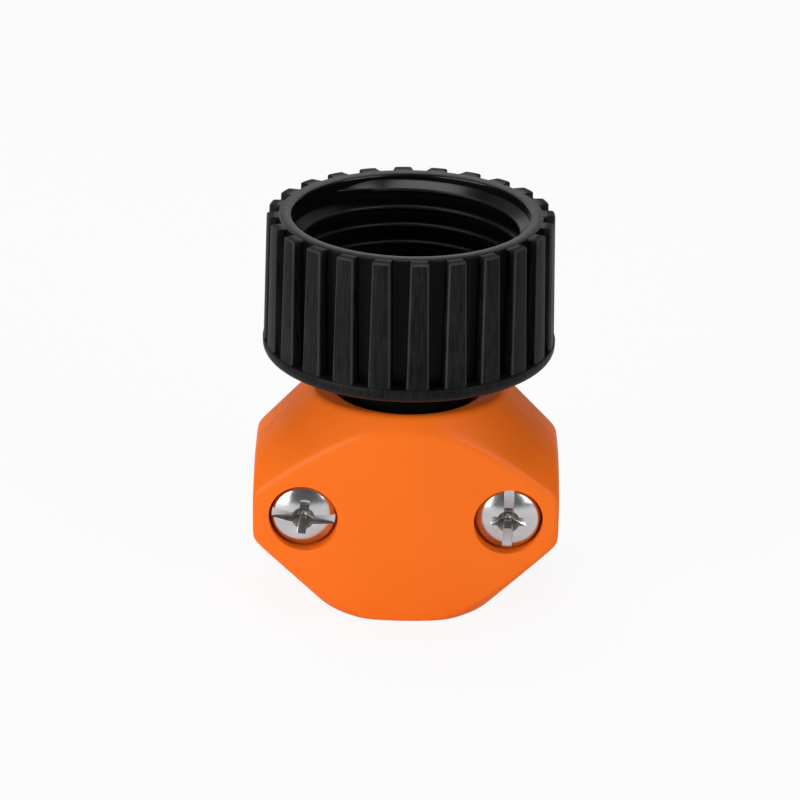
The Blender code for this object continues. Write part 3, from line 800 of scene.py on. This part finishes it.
def clamp_levels(sizes):
    """Heights of the sections, crowded at both rounded ends."""
    ends = [sizes.end_round * share for share in (0.0, 0.03, 0.12, 0.3, 0.6, 1.0)]
    top = CLAMP_HIGH.z
    span = top - 2 * sizes.end_round
    middle = [sizes.end_round + span * index / CLAMP_LEVELS for index in range(1, CLAMP_LEVELS)]
    return ends + middle + [top - height for height in reversed(ends)]


def clamp_shell(name, side, land, sizes):
    """The outside of one half; side is -1 for the front, +1 for the back."""
    start = side * sizes.gap / 2
    rings = []
    for height in clamp_levels(sizes):
        ring = []
        for angle in clamp_angles():
            reach = section_reach(angle, height, land, sizes)
            ring.append((reach * math.cos(angle), start + side * reach * math.sin(angle), height))
        rings.append(ring)
    return ring_piece(name, rings, False)


def cavity_outline(sizes):
    """The inside of the closed clamp as one turned cutter."""
    top = CLAMP_HIGH.z
    lip_top = top - sizes.neck_hole_depth
    lip_low = lip_top - sizes.lip
    groove_low = lip_low - sizes.groove
    rim = sizes.neck_hole + HOLE_RIM
    bore = sizes.hose_radius
    outline = [(0.0, top + BEYOND), (rim, top + BEYOND), (rim, top)]
    outline += arc((rim, top - HOLE_RIM), HOLE_RIM, 90, 180, 5)[1:]
    outline += [(sizes.neck_hole, lip_top), (sizes.lip_radius, lip_top),
                (sizes.lip_radius, lip_low), (sizes.groove_radius, lip_low),
                (sizes.groove_radius, groove_low), (bore, groove_low)]
    pitch = (groove_low - HOSE_MOUTH) / (GRIP_RINGS + 1)
    for index in range(GRIP_RINGS):
        level = groove_low - (index + 1) * pitch
        outline += [(bore, level + sizes.grip_ring),
                    (bore - sizes.grip_ring, level + GRIP_CREST),
                    (bore - sizes.grip_ring, level - GRIP_CREST),
                    (bore, level - sizes.grip_ring)]
    outline += [(bore, HOSE_MOUTH), (bore + HOSE_MOUTH, 0.0), (bore + HOSE_MOUTH, -BEYOND),
                (0.0, -BEYOND)]
    return outline


def solid_of_turn(name, outline, count, place=Matrix.Identity(4), shear=0.0):
    """A turned cutter whose outline starts and ends on the axis; shear tips its rim along X."""
    form = bmesh.new()
    poles = [form.verts.new((0.0, 0.0, outline[end][1])) for end in (0, -1)]
    rings = []
    for radius, height in outline[1:-1]:
        rings.append([form.verts.new((x, y, z + shear * x))
                      for x, y, z in circle_ring(radius, height, count)])
    for index in range(count):
        after = (index + 1) % count
        form.faces.new((poles[0], rings[0][index], rings[0][after]))
        form.faces.new((poles[1], rings[-1][after], rings[-1][index]))
        for upper, lower in zip(rings, rings[1:]):
            form.faces.new((upper[index], lower[index], lower[after], upper[after]))
    return placed_mesh(form, name, place)


def prism(foot, crown):
    """A closed form between two rings of equally many points."""
    form = bmesh.new()
    low, high = ([form.verts.new(point) for point in ring] for ring in (foot, crown))
    form.faces.new(low[::-1])
    form.faces.new(high)
    for index in range(len(low)):
        after = (index + 1) % len(low)
        form.faces.new((low[index], low[after], high[after], high[index]))
    return form


def cut(mesh, tools, operation="DIFFERENCE"):
    """A copy of a mesh after exact Booleans with each tool mesh."""
    piece = add_object("cut_work", mesh)
    helpers = [add_object("cut_tool", tool) for tool in tools]
    for helper in helpers:
        step = piece.modifiers.new("cut", "BOOLEAN")
        step.operation = operation
        step.solver = "EXACT"
        step.object = helper
    bpy.context.view_layer.update()
    graph = bpy.context.evaluated_depsgraph_get()
    result = bpy.data.meshes.new_from_object(piece.evaluated_get(graph))
    for obj in [piece] + helpers:
        bpy.data.objects.remove(obj, do_unlink=True)
    return result


def pocket_outline(radius, floor, mouth):
    """A round pocket from beyond its mouth down to its floor, with a rounded rim."""
    over = mouth + POCKET_OVER
    rim = radius + POCKET_RIM
    outline = [(0.0, over), (rim, over)]
    outline += arc((rim, mouth - POCKET_RIM), POCKET_RIM, 90, 180, 5)
    outline += [(radius, floor + POCKET_FOOT), (radius - POCKET_FOOT, floor), (0.0, floor)]
    return outline


def middle_of(box):
    """X and Z of the middle of a screw's or nut's CAD box."""
    low, high = box
    return (low.x + high.x) / 2, (low.z + high.z) / 2


def laid(place, side=1):
    """Lays what stands along Z down at a place, pointing back (+1) or to the front (-1)."""
    return Matrix.Translation(place) @ Matrix.Rotation(-side * math.pi / 2, 4, "X")


def clamp_half_mesh(name, side, land, sizes):
    """One finished half: lofted outside, hose bore, screw holes and pockets."""
    shell = clamp_shell(name, side, land, sizes)
    tools = [solid_of_turn("hose_cavity", cavity_outline(sizes), 144)]
    height, fall = face_roof(sizes)
    for across, level in map(middle_of, SCREW_BOXES.values()):
        face = height - fall * (abs(across) - sizes.ridge_round * 0.95) + sizes.gap / 2
        lie = laid((across, 0.0, level), side)
        if side < 0:
            slope = -fall if across > 0 else fall
            outline = pocket_outline(sizes.pocket_radius, sizes.head_seat, face)
            tools.append(solid_of_turn("pocket", outline, 96, lie, slope))
        else:
            tools.append(hex_pocket(sizes, face, lie))
        hole = sizes.shank_hole
        outline = [(0.0, HOLE_REACH), (hole, HOLE_REACH), (hole, -BEYOND), (0.0, -BEYOND)]
        tools.append(solid_of_turn("hole", outline, 64, lie))
    return cut(shell, tools)


def hex_pocket(sizes, face, place):
    """The hexagonal pocket that keeps a nut from turning, with rounded corners."""
    low, high = HEX_BOXES["right"]
    corner = (high.x - low.x + HEX_PLAY) / math.sqrt(3)
    foot, crown = ([(corner * math.sin(math.pi / 3 * index),
                     corner * math.cos(math.pi / 3 * index), height) for index in range(6)]
                   for height in (sizes.hex_seat, face + HEX_OVER))
    form = prism(foot, crown)
    bmesh.ops.recalc_face_normals(form, faces=form.faces)
    upright = [edge for edge in form.edges
               if abs(edge.verts[0].co.z - edge.verts[1].co.z) > MM]
    round_edges(form, upright, HEX_CORNER, 3)
    return placed_mesh(form, "hex_pocket", place)


# Screws and hex nuts
SHANK_POINTS = 96
ROWS_A_TURN = 12
SCREW_THREAD_DEPTH = 0.6
FADE_START = 0.3 * MM
FADE_LENGTH = 0.5 * MM
TIP_TAPER = 0.7 * MM
TIP_SLOPE = 0.8
HEAD_POLE = 0.1 * MM
HEAD_RISE = 0.88 * MM
HEAD_SHOULDER = 0.55 * MM
HEAD_SEAT_EDGE = 0.2 * MM
SHANK_ROOT = 0.15 * MM
RECESS_EDGE = 0.09 * MM
RECESS_FIND = 0.03 * MM
RECESS_TURN = math.radians(25.0)
SLOT_FOOT = 0.46
CROSS_TAPER = 0.55
WING_HALF = 0.62 * MM
WING_FOOT = (0.65 * MM, 0.42 * MM)
WING_EDGE = 0.06 * MM
WING_STEP = 0.02 * MM
PIT_RADII = (1.65 * MM, 1.25 * MM, 0.5 * MM)
PIT_DEPTHS = (0.5 * MM, 0.1 * MM, 0.35 * MM)
NUT_POINTS = 72
NUT_ROWS = 24
NUT_BORE_GAP = 0.25 * MM
NUT_BORE_EDGE = 0.2 * MM
NUT_THREAD_EDGE = 0.15 * MM
NUT_LAND = 0.05 * MM


def crown_ball(sizes):
    """Radius of the ball that the head's crown is cut from."""
    return (sizes.head_radius ** 2 + HEAD_RISE ** 2) / (2 * HEAD_RISE)


def turn_offset(angle, height, pitch):
    """How far a point lies, along the axis, from the nearest turn of a right-handed thread."""
    turns = height / pitch - angle / math.tau
    return abs(turns - math.floor(turns + 0.5)) * pitch


def threaded_rings(radius_at, start, end, rows, points):
    """Rings from one height to another, each point at the radius that a thread has there."""
    rings = []
    for row in range(rows + 1):
        height = start + (end - start) * row / rows
        angles = (math.tau * point / points for point in range(points))
        rings.append([polar(radius_at(angle, height), angle, height) for angle in angles])
    return rings


def screw_thread_radius(angle, height, tip, sizes):
    """Radius of a fine 60 degree thread on the shank, fading at the tip and under the head."""
    offset = turn_offset(angle, height, sizes.pitch)
    groove = max(sizes.pitch * SCREW_THREAD_DEPTH - offset / FLANK, 0.0)
    fade = min(max((height - FADE_START) / FADE_LENGTH, 0.0), 1.0)
    taper = max(0.0, height - (tip - TIP_TAPER)) * TIP_SLOPE
    return sizes.shank_radius - max(groove * fade, taper)


def screw_mesh(name, sizes, tip):
    """A pan head screw with its shank up +Z from the seat at z = 0 and its head below."""
    ball = crown_ball(sizes)
    shoulder = sizes.head_radius - HEAD_SHOULDER
    tilt = math.asin(shoulder / (ball - HEAD_SHOULDER))
    turn = math.degrees(tilt) - 90
    head = [(HEAD_POLE, -sizes.head_height)]
    head += arc((0.0, ball - sizes.head_height), ball, -90, turn, 12)[1:]
    middle = head[-1][1] + HEAD_SHOULDER * math.cos(tilt)
    head += arc((shoulder, middle), HEAD_SHOULDER, turn, 0, 6)[1:]
    edge = HEAD_SEAT_EDGE
    head += [(sizes.head_radius, -edge), (sizes.head_radius - edge * 0.3, -edge * 0.3),
             (sizes.head_radius - edge, 0.0), (sizes.shank_radius + SHANK_ROOT, 0.0),
             (sizes.shank_radius, SHANK_ROOT)]
    rings = [circle_ring(radius, height, SHANK_POINTS) for radius, height in head]

    def radius_at(angle, height):
        return screw_thread_radius(angle, height, tip, sizes)

    rows = int((tip - edge) / sizes.pitch * ROWS_A_TURN)
    rings += threaded_rings(radius_at, edge, tip, rows, SHANK_POINTS)
    return ring_piece(name, rings, False)


def block(foot, crown, low, high, turn=0.0, edge=0.0):
    """A tapered cutter: foot and crown are half sizes (x, y) at two heights."""
    corners = ((-1, -1), (1, -1), (1, 1), (-1, 1))
    rings = [[(wide * x, deep * y, height) for x, y in corners]
             for (wide, deep), height in ((foot, low), (crown, high))]
    form = prism(*rings)
    if edge:
        round_edges(form, list(form.edges), edge, 2)
    return placed_mesh(form, "block", Matrix.Rotation(turn, 4, "Z"))


def recess_tools(sizes):
    """The slot, the cross's two wings and its pointed pit."""
    crown = -sizes.head_height
    over = crown - MM
    across = sizes.head_radius * 2
    tools = [block((across, sizes.slot_width / 2), (across, sizes.slot_width * SLOT_FOOT),
                   over, crown + sizes.slot_depth)]
    spread = sizes.cross_span / 2 * (1 + MM * CROSS_TAPER / sizes.cross_depth)
    foot = crown + sizes.cross_depth
    for quarter in range(2):
        tools.append(block((spread, WING_HALF), WING_FOOT, over, foot - quarter * WING_STEP,
                           quarter * math.pi / 2, WING_EDGE))
    wide, middle, narrow = PIT_RADII
    pit = [(0.0, over), (wide, over), (middle, crown + PIT_DEPTHS[0]),
           (narrow, foot + PIT_DEPTHS[1]), (0.0, foot + PIT_DEPTHS[2])]
    tools.append(solid_of_turn("pit", pit, 24))
    return tools


def soften_recess(mesh, ball, sizes):
    """Rounds the edges where the recess breaks through the crown."""
    centre = Vector((0.0, 0.0, ball - sizes.head_height))
    form = bmesh.new()
    form.from_mesh(mesh)
    edges = []
    for edge in form.edges:
        on_crown = all(abs((vert.co - centre).length - ball) < RECESS_FIND for vert in edge.verts)
        if on_crown and len(edge.link_faces) == 2 and edge.calc_face_angle() > RECESS_TURN:
            edges.append(edge)
    round_edges(form, edges, RECESS_EDGE, 2)
    form.to_mesh(mesh)
    form.free()


def hex_nut_mesh(name, sizes, flats, thickness):
    """A chamfered hex nut from z = 0 up, with its thread."""
    points, rows = NUT_POINTS, NUT_ROWS
    bore = sizes.shank_radius + NUT_BORE_GAP
    land = flats / 2 - NUT_LAND
    lower, upper = [], []
    for index in range(points):
        angle = math.tau * index / points
        fold = (angle + math.pi / 6) % (math.pi / 3) - math.pi / 6
        reach = flats / 2 / math.cos(fold)
        drop = (reach - land) * FLANK
        lower.append(polar(reach, angle, drop))
        upper.append(polar(reach, angle, thickness - drop))

    def radius_at(angle, height):
        return bore + turn_offset(angle, height, sizes.pitch) * 0.5

    rings = [circle_ring(land, 0.0, points), lower, upper, circle_ring(land, thickness, points),
             circle_ring(bore + NUT_BORE_EDGE, thickness, points)]
    rings += threaded_rings(radius_at, thickness - NUT_THREAD_EDGE, NUT_THREAD_EDGE, rows, points)
    rings.append(circle_ring(bore + NUT_BORE_EDGE, 0.0, points))
    return ring_piece(name, rings, True)


# The washer and the stem
WASHER_ROUND = 0.45 * MM
BARB_RISE = 0.3 * MM
TAIL_TIP_WALL = 0.9 * MM


def sizes_of():
    return bpy.context.scene.hose_connector


class HOSECONNECTOR_OT_swivel_nut(bpy.types.Operator):
    """Builds the ribbed swivel nut with the thread in its socket."""

    bl_idname = "hose_connector.swivel_nut"
    bl_label = "Swivel Nut"

    def execute(self, context):
        sizes = sizes_of()
        mesh = ring_piece("ribbed_nut", nut_rings(sizes.nut), True)
        mesh = cut(mesh, [thread_mesh(sizes.nut)], "UNION")
        mesh.name = "ribbed_nut"
        nylon = black_nylon(sizes.finishes, "black_nylon", sizes.nut)
        add_piece("ribbed_nut", mesh, nylon, "swivel", ["swivel_nut"])
        return {"FINISHED"}


class HOSECONNECTOR_OT_washer(bpy.types.Operator):
    """Builds the rubber washer at the bottom of the socket."""

    bl_idname = "hose_connector.washer"
    bl_label = "Hose Washer"

    def execute(self, context):
        sizes = sizes_of()
        low, high = WASHER_LOW.z, WASHER_HIGH.z
        outer, inner = WASHER_HIGH.x, sizes.stem.washer_hole
        corners = [(inner, high), (outer, high), (outer, low), (inner, low)]
        mesh = turned_mesh("rubber_washer", rounded_outline(corners, [WASHER_ROUND] * 4))
        rubber = washer_rubber(sizes.finishes)
        add_piece("rubber_washer", mesh, rubber, "swivel", ["hose_washer"])
        return {"FINISHED"}


class HOSECONNECTOR_OT_stem(bpy.types.Operator):
    """Builds the stem: flange, neck, collar and barbed tail."""

    bl_idname = "hose_connector.stem"
    bl_label = "Stem"

    def execute(self, context):
        sizes = sizes_of()
        stem = sizes.stem
        top, tail = STEM_HIGH.z, STEM_LOW.z
        under = top - stem.flange
        collar_low = stem.collar_top - stem.collar
        corners = [(stem.bore_radius, top), (STEM_HIGH.x, top), (STEM_HIGH.x, under),
                   (stem.neck_radius, under), (stem.neck_radius, stem.collar_top),
                   (stem.collar_radius, stem.collar_top), (stem.collar_radius, collar_low),
                   (stem.tail_radius, collar_low)]
        rounds = [0.4, 0.3, 0.15, 0.5, 0.4, 0.2, 0.2, 0.3]
        pitch = (collar_low - tail) / (stem.barb_count + 0.5)
        for index in range(stem.barb_count):
            step = collar_low - (index + 0.5) * pitch
            corners += [(stem.tail_radius, step), (stem.barb_radius, step - BARB_RISE)]
            rounds += [0.12, 0.08]
        corners += [(stem.bore_radius + TAIL_TIP_WALL, tail), (stem.bore_radius, tail)]
        rounds += [0.3, 0.2]
        outline = rounded_outline(corners, [radius * MM for radius in rounds])
        mesh = turned_mesh("barbed_stem", outline)
        nylon = black_nylon(sizes.finishes, "stem_nylon")
        add_piece("barbed_stem", mesh, nylon, "stem_and_back", ["stem"])
        return {"FINISHED"}


class HOSECONNECTOR_OT_clamp(bpy.types.Operator):
    """Builds both halves of the orange clamp."""

    bl_idname = "hose_connector.clamp"
    bl_label = "Clamp Halves"

    def execute(self, context):
        sizes = sizes_of()
        clamp = sizes.clamp
        orange = orange_nylon(sizes.finishes)
        halves = (("front_half_shell", -1, clamp.front_land, "front_half", "clamp_front"),
                  ("back_half_shell", 1, clamp.back_land, "stem_and_back", "clamp_back"))
        for name, side, land, body, node in halves:
            mesh = clamp_half_mesh(name, side, land, clamp)
            mesh.name = name
            add_piece(name, mesh, orange, body, [node])
        return {"FINISHED"}


class HOSECONNECTOR_OT_screws(bpy.types.Operator):
    """Builds the two plated clamp screws."""

    bl_idname = "hose_connector.screws"
    bl_label = "Clamp Screws"

    def execute(self, context):
        sizes = sizes_of()
        screw = sizes.screw
        ball = crown_ball(screw)
        across, level = middle_of(SCREW_BOXES["right"])
        centre = (across, SCREW_BOXES["right"][0].y + ball, level)
        zinc = zinc_plate(sizes.finishes, "zinc_screw", (centre, ball))
        turns = {"left": screw.left_turn, "right": screw.right_turn}
        for hand, (low, high) in SCREW_BOXES.items():
            name = f"pan_head_{hand}"
            across, level = middle_of((low, high))
            seat = low.y + screw.head_height
            mesh = cut(screw_mesh(name, screw, high.y - seat), recess_tools(screw))
            soften_recess(mesh, ball, screw)
            mesh.transform(laid((across, seat, level)) @ Matrix.Rotation(turns[hand], 4, "Z"))
            mesh.name = name
            add_piece(name, mesh, zinc, f"{hand}_screw", [f"screw_{hand}"], 38.0)
        return {"FINISHED"}


class HOSECONNECTOR_OT_hex_nuts(bpy.types.Operator):
    """Builds the hex nuts in the back half's pockets."""

    bl_idname = "hose_connector.hex_nuts"
    bl_label = "Hex Nuts"

    def execute(self, context):
        sizes = sizes_of()
        zinc = zinc_plate(sizes.finishes, "zinc_hex_nut")
        for hand, (low, high) in HEX_BOXES.items():
            name = f"chamfered_nut_{hand}"
            mesh = hex_nut_mesh(name, sizes.screw, high.x - low.x, high.y - low.y)
            across, level = middle_of((low, high))
            mesh.transform(laid((across, low.y, level)))
            add_piece(name, mesh, zinc, "stem_and_back", [f"hex_nut_{hand}"])
        return {"FINISHED"}


# The studio: each lamp's place, width and height; the floor's half width and its rise behind
LIT_POINT = (0.0, 0.0, 0.028)
LAMPS = {
    "key": ((-0.51, -0.42, 0.16), 0.58, 0.30),
    "fill": ((0.47, -0.42, 0.25), 0.44, 0.30),
    "top": ((-0.045, 0.05, 0.66), 0.31, 0.36),
    "back": ((-0.30, 0.52, 0.20), 0.24, 0.24),
}
SWEEP_HALF = 1.6
SWEEP_START = 0.6
SWEEP_BEND = 0.5
SWEEP_TOP = 2.0
SWEEP_STEPS = 12


def area_light(name, place, width, height, power):
    light = bpy.data.lights.new(name, "AREA")
    light.shape = "RECTANGLE"
    light.size = width
    light.size_y = height
    light.energy = power
    lamp = add_object(name, light)
    lamp.location = place
    aim = Vector(LIT_POINT) - Vector(place)
    lamp.rotation_euler = aim.to_track_quat("-Z", "Y").to_euler()


class HOSECONNECTOR_OT_studio(bpy.types.Operator):
    """Sets up the floor, the lights, the surroundings and the camera."""

    bl_idname = "hose_connector.studio"
    bl_label = "Studio"

    def execute(self, context):
        sizes = sizes_of()
        self.add_floor(sizes)
        self.add_lights(sizes.studio)
        self.add_world(sizes.studio)
        self.add_camera(sizes.studio)
        context.scene.view_settings.view_transform = "Standard"
        return {"FINISHED"}

    def add_floor(self, sizes):
        line = [(-SWEEP_HALF, 0.0)]
        line += arc((SWEEP_START, SWEEP_BEND), SWEEP_BEND, -90, 0, SWEEP_STEPS)
        line.append((SWEEP_START + SWEEP_BEND, SWEEP_TOP))
        form = bmesh.new()
        rows = []
        for depth, height in line:
            rows.append([form.verts.new((side, depth, height))
                         for side in (-SWEEP_HALF, SWEEP_HALF)])
        for first, second in zip(rows, rows[1:]):
            form.faces.new((first[0], first[1], second[1], second[0]))
        mesh = mesh_of(form, "studio_sweep")
        mesh.shade_smooth()
        mesh.materials.append(studio_floor(sizes.finishes))
        floor = add_object("studio_sweep", mesh)

    def add_lights(self, studio):
        powers = {"key": studio.key, "fill": studio.fill, "top": studio.top, "back": studio.back}
        for name, (place, width, height) in LAMPS.items():
            area_light(name, place, width, height, powers[name])

    def add_world(self, studio):
        world = bpy.data.worlds.new("pale_studio")
        world.use_nodes = True
        tree = Tree(world.node_tree)
        room = tree.node("ShaderNodeBackground", None, {"Color": WHITE, "Strength": studio.world})
        backdrop = tree.node("ShaderNodeBackground", None, {"Color": WHITE, "Strength": 1.0})
        camera, mirrored = tree.rays()
        seen = tree.mix_shaders(camera + mirrored * 0.03, room, backdrop)
        tree.node("ShaderNodeOutputWorld", None, {"Surface": seen}, None)
        bpy.context.scene.world = world

    def add_camera(self, studio):
        data = bpy.data.cameras.new("photo_camera")
        data.sensor_width = 36.0
        data.lens = studio.lens
        data.clip_start = 0.01
        data.clip_end = 20.0
        camera = add_object("photo_camera", data)
        back = Vector((0.0, -math.cos(studio.elevation), math.sin(studio.elevation)))
        target = Vector((studio.target_side, 0.0, studio.target_height))
        camera.location = target + back * studio.distance
        look = (-back).to_track_quat("-Z", "Y").to_matrix().to_4x4()
        turned = look @ Matrix.Rotation(studio.roll, 4, "Z")
        camera.rotation_euler = turned.to_euler()
        bpy.context.scene.camera = camera


class HOSECONNECTOR_PT_pieces(bpy.types.Panel):
    """Lists the connector's pieces in the sidebar."""

    bl_idname = "HOSECONNECTOR_PT_pieces"
    bl_label = "Hose Connector"
    bl_space_type = "VIEW_3D"
    bl_region_type = "UI"
    bl_category = "Hose Connector"

    def draw(self, context):
        for operator in OPERATORS:
            self.layout.operator(operator.bl_idname)


class ConnectorSizes(bpy.types.PropertyGroup):
    """All settings of the connector."""

    nut: PointerProperty(type=SwivelNutSizes)
    stem: PointerProperty(type=StemSizes)
    clamp: PointerProperty(type=ClampSizes)
    screw: PointerProperty(type=ScrewSizes)
    finishes: PointerProperty(type=Finishes)
    studio: PointerProperty(type=StudioSizes)


GROUPS = (SwivelNutSizes, StemSizes, ClampSizes, ScrewSizes, Finishes, StudioSizes,
          ConnectorSizes)
OPERATORS = (HOSECONNECTOR_OT_studio, HOSECONNECTOR_OT_swivel_nut, HOSECONNECTOR_OT_washer,
             HOSECONNECTOR_OT_stem, HOSECONNECTOR_OT_clamp, HOSECONNECTOR_OT_screws,
             HOSECONNECTOR_OT_hex_nuts)
CLASSES = GROUPS + OPERATORS + (HOSECONNECTOR_PT_pieces,)


def register():
    for made in CLASSES:
        bpy.utils.register_class(made)
    bpy.types.Scene.hose_connector = PointerProperty(type=ConnectorSizes)


def unregister():
    del bpy.types.Scene.hose_connector
    for made in reversed(CLASSES):
        bpy.utils.unregister_class(made)


def main():
    register()
    bpy.ops.hose_connector.studio()
    bpy.ops.hose_connector.swivel_nut()
    bpy.ops.hose_connector.washer()
    bpy.ops.hose_connector.stem()
    bpy.ops.hose_connector.clamp()
    bpy.ops.hose_connector.screws()
    bpy.ops.hose_connector.hex_nuts()


if __name__ == "__main__":
    main()
